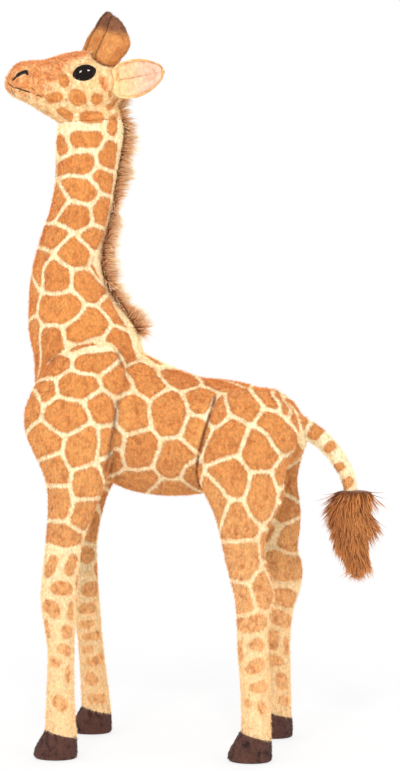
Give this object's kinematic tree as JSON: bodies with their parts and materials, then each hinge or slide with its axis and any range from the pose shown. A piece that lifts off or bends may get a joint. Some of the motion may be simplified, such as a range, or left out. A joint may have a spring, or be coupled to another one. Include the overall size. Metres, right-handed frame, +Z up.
{
  "type": "plush giraffe",
  "caption": "Standing stuffed giraffe on four wired legs with an upright neck, pile mane, tufted tail and a head that turns and nods.",
  "frame": {"origin": "on the floor, under the middle of the whole giraffe's box", "axes": "+Z up, -X the way the body faces, +Y towards its right side"},
  "size_m": [0.3028, 0.1366, 0.5991],
  "materials": {
    "spotted_plush": "matte",
    "pale_plush": "matte",
    "hoof_plush": "matte",
    "brown_pile": "matte",
    "ear_plush": "matte",
    "horn_plush": "matte",
    "horn_cap_plush": "matte",
    "eye_plastic": "gloss",
    "eye_washer": "satin",
    "sole_board": "matte",
    "armature_steel": "satin"
  },
  "bodies": {
    "torso": {"torso": "spotted_plush", "spine_wire": "armature_steel"},
    "neck": {"neck": "spotted_plush", "neck_wire": "armature_steel", "mane_lower": "brown_pile"},
    "upper_neck": {"upper_neck": "spotted_plush", "upper_neck_wire": "armature_steel", "mane_upper": "brown_pile"},
    "head": {"head": "spotted_plush", "head_wire": "armature_steel", "left_horn": "horn_plush", "left_horn_cap": "horn_cap_plush", "left_eye": "eye_plastic", "left_eye_washer": "eye_washer", "right_horn": "horn_plush", "right_horn_cap": "horn_cap_plush", "right_eye": "eye_plastic", "right_eye_washer": "eye_washer"},
    "tail": {"tail": "pale_plush", "tail_tuft": "brown_pile"},
    "left_ear": {"left_ear": "spotted_plush", "left_ear_lining": "ear_plush"},
    "right_ear": {"right_ear": "spotted_plush", "right_ear_lining": "ear_plush"},
    "front_left_leg": {"front_left_leg": "pale_plush", "front_left_leg_wire": "armature_steel", "front_left_hoof": "hoof_plush", "front_left_sole_board": "sole_board"},
    "front_right_leg": {"front_right_leg": "pale_plush", "front_right_leg_wire": "armature_steel", "front_right_hoof": "hoof_plush", "front_right_sole_board": "sole_board"},
    "rear_left_leg": {"rear_left_leg": "pale_plush", "rear_left_leg_wire": "armature_steel", "rear_left_hoof": "hoof_plush", "rear_left_sole_board": "sole_board"},
    "rear_right_leg": {"rear_right_leg": "pale_plush", "rear_right_leg_wire": "armature_steel", "rear_right_hoof": "hoof_plush", "rear_right_sole_board": "sole_board"}
  },
  "joints": [
    {"name": "neck_bend", "type": "hinge", "parent": "torso", "child": "neck", "pos_m": [-0.0901, 0, 0.30514], "axis": [0, 1, 0], "range_deg": [-12, 12]},
    {"name": "neck_turn", "type": "hinge", "parent": "neck", "child": "upper_neck", "pos_m": [-0.09282, 0, 0.43535], "axis": [0.2212, 0, 0.9752], "range_deg": [-52, 12]},
    {"name": "head_nod", "type": "hinge", "parent": "upper_neck", "child": "head", "pos_m": [-0.08069, -0.00225, 0.51404], "axis": [-0.3653, 0.9272, 0.0829], "range_deg": [-12, 12]},
    {"name": "tail_wag", "type": "hinge", "parent": "torso", "child": "tail", "pos_m": [0.08298, 0, 0.26298], "axis": [0, 0, 1], "range_deg": [-14, 14], "stiffness_Nm_per_rad": 0.004},
    {"name": "left_ear_flap", "type": "hinge", "parent": "head", "child": "left_ear", "pos_m": [-0.06411, -0.02533, 0.5358], "axis": [0.0157, -0.0829, 0.9964], "range_deg": [-18, 18], "stiffness_Nm_per_rad": 0.001},
    {"name": "right_ear_flap", "type": "hinge", "parent": "head", "child": "right_ear", "pos_m": [-0.08285, 0.02224, 0.54005], "axis": [0.0157, -0.0829, 0.9964], "range_deg": [-18, 18], "stiffness_Nm_per_rad": 0.001},
    {"name": "front_left_hip", "type": "hinge", "parent": "torso", "child": "front_left_leg", "pos_m": [-0.08795, -0.033, 0.26794], "axis": [0, 1, 0], "range_deg": [-8, 8]},
    {"name": "front_right_hip", "type": "hinge", "parent": "torso", "child": "front_right_leg", "pos_m": [-0.08795, 0.033, 0.26794], "axis": [0, 1, 0], "range_deg": [-8, 8]},
    {"name": "rear_left_hip", "type": "hinge", "parent": "torso", "child": "rear_left_leg", "pos_m": [0.05008, -0.033, 0.245], "axis": [0, 1, 0], "range_deg": [-8, 8]},
    {"name": "rear_right_hip", "type": "hinge", "parent": "torso", "child": "rear_right_leg", "pos_m": [0.05008, 0.033, 0.245], "axis": [0, 1, 0], "range_deg": [-8, 8]}
  ]
}
